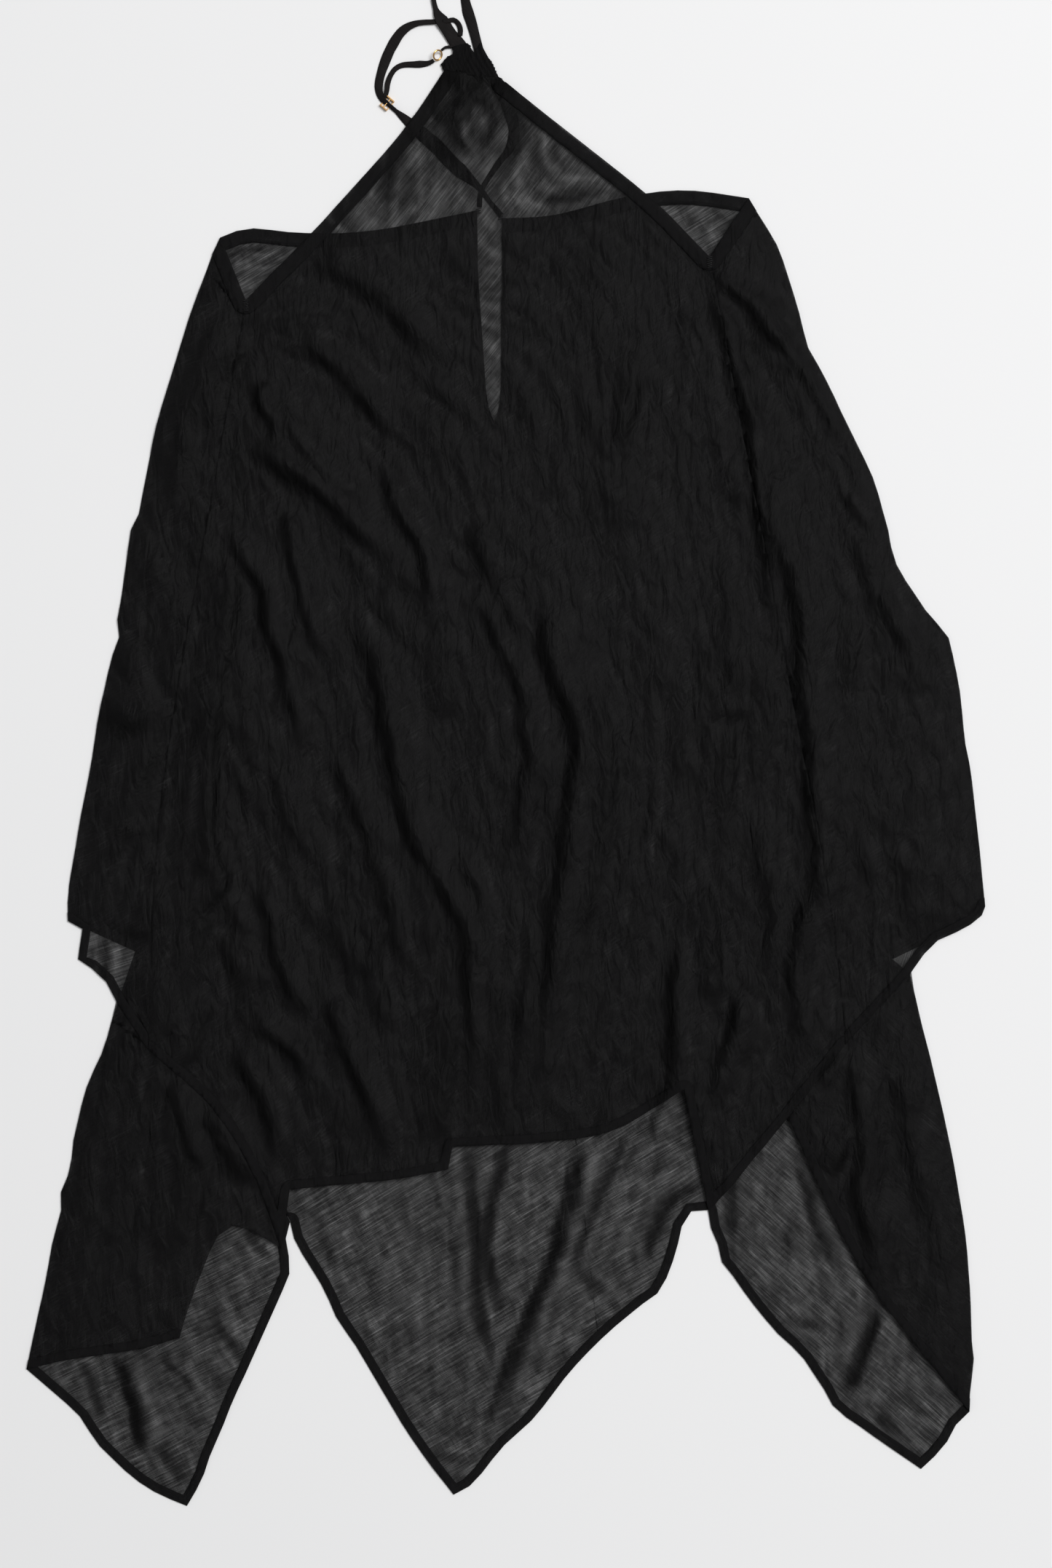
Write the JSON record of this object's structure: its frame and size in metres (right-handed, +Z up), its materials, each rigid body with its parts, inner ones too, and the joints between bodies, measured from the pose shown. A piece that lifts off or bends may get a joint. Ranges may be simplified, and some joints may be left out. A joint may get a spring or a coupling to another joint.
{
  "type": "sheer halter cape",
  "caption": "Sheer black halter cape lying flat, with a pointed handkerchief hem, gathered neck, crossed back straps, and a metal ring and slider on the adjustable strap.",
  "frame": {"origin": "middle of the resting cloth, on the surface it lies on", "axes": "+Z up from the surface, +Y from hem to neck, +X to the right with the front facing up"},
  "size_m": [0.855, 1.4727, 0.0077],
  "materials": {
    "voile": "crumpled see-through slub voile, matt",
    "turned_edge": "turned voile, several layers, matt",
    "strap": "voile tube, pressed flat, matt",
    "thread": "close zigzag stitches",
    "gilt": "polished gilt metal"
  },
  "bodies": {
    "garment": {"back_panel": "voile", "front_panel": "voile", "side_panel_left": "voile", "side_panel_right": "voile", "wing_left_under": "voile", "wing_left_over": "voile", "wing_right_under": "voile", "wing_right_over": "voile", "armhole_band_left": "turned_edge", "armhole_band_right": "turned_edge", "side_band_left": "turned_edge", "side_band_right": "turned_edge", "back_band_left": "turned_edge", "back_band_right": "turned_edge", "slit_binding_left": "turned_edge", "slit_binding_right": "turned_edge", "front_hem": "turned_edge", "side_hem_left": "turned_edge", "side_hem_right": "turned_edge", "back_point_hem": "turned_edge", "wing_hem_left": "turned_edge", "wing_hem_right": "turned_edge", "wing_fold_hem_left": "turned_edge", "wing_fold_hem_right": "turned_edge", "neck_casing": "turned_edge", "neck_strap": "strap", "adjuster_strap": "strap", "crossed_strap": "strap", "return_strap": "strap", "ring_loop": "strap", "hanger_loop": "strap", "slit_tack_left": "thread", "slit_tack_right": "thread", "underarm_tack_left": "thread", "underarm_tack_right": "thread"},
    "ring": {"ring": "gilt"},
    "slider": {"slider": "gilt"}
  },
  "joints": [
    {"name": "slider_slide", "type": "slide", "parent": "garment", "child": "slider", "axis": [0.7571, -0.6533, 0], "range_m": [0, 0.019]},
    {"name": "ring_tilt", "type": "hinge", "parent": "garment", "child": "ring", "pos_m": [-0.0602, 0.641, 0.00386], "axis": [0.6028, 0.7979, 0], "range_deg": [-35, 35]}
  ]
}
